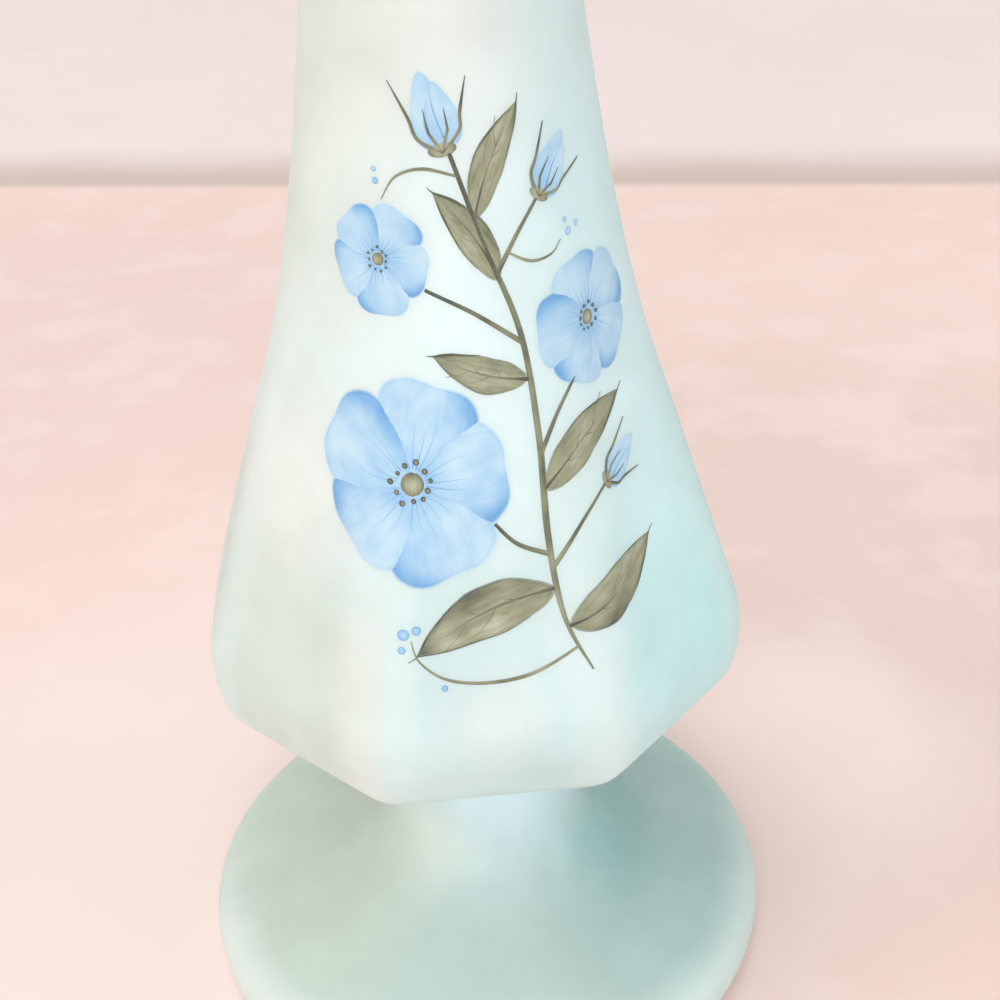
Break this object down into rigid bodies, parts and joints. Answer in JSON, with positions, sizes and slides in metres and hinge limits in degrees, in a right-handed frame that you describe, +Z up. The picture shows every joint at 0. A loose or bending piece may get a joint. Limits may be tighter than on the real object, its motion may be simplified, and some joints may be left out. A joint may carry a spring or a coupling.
{
  "type": "bud vase",
  "caption": "Pedestal bud vase: panelled body drawn up into a slim neck with a crimped mouth, on a short stem and a domed foot.",
  "frame": {"origin": "middle of the foot's underside, at the level of the ground ring", "axes": "+Z up along the vase's axis, front panel with the enamel spray towards -Y"},
  "size_m": [0.076, 0.076, 0.2],
  "materials": {
    "satin_glass": "opaque, acid-etched satin",
    "blue_enamel": "satin fired enamel",
    "olive_enamel": "satin fired enamel"
  },
  "bodies": {
    "root": {"foot": "satin_glass", "stem": "satin_glass", "body": "satin_glass", "neck": "satin_glass", "sprig": "olive_enamel", "large_blossom": "blue_enamel", "right_blossom": "blue_enamel", "upper_blossom": "blue_enamel", "top_bud": "blue_enamel", "right_bud": "blue_enamel", "low_bud": "blue_enamel"}
  },
  "joints": []
}
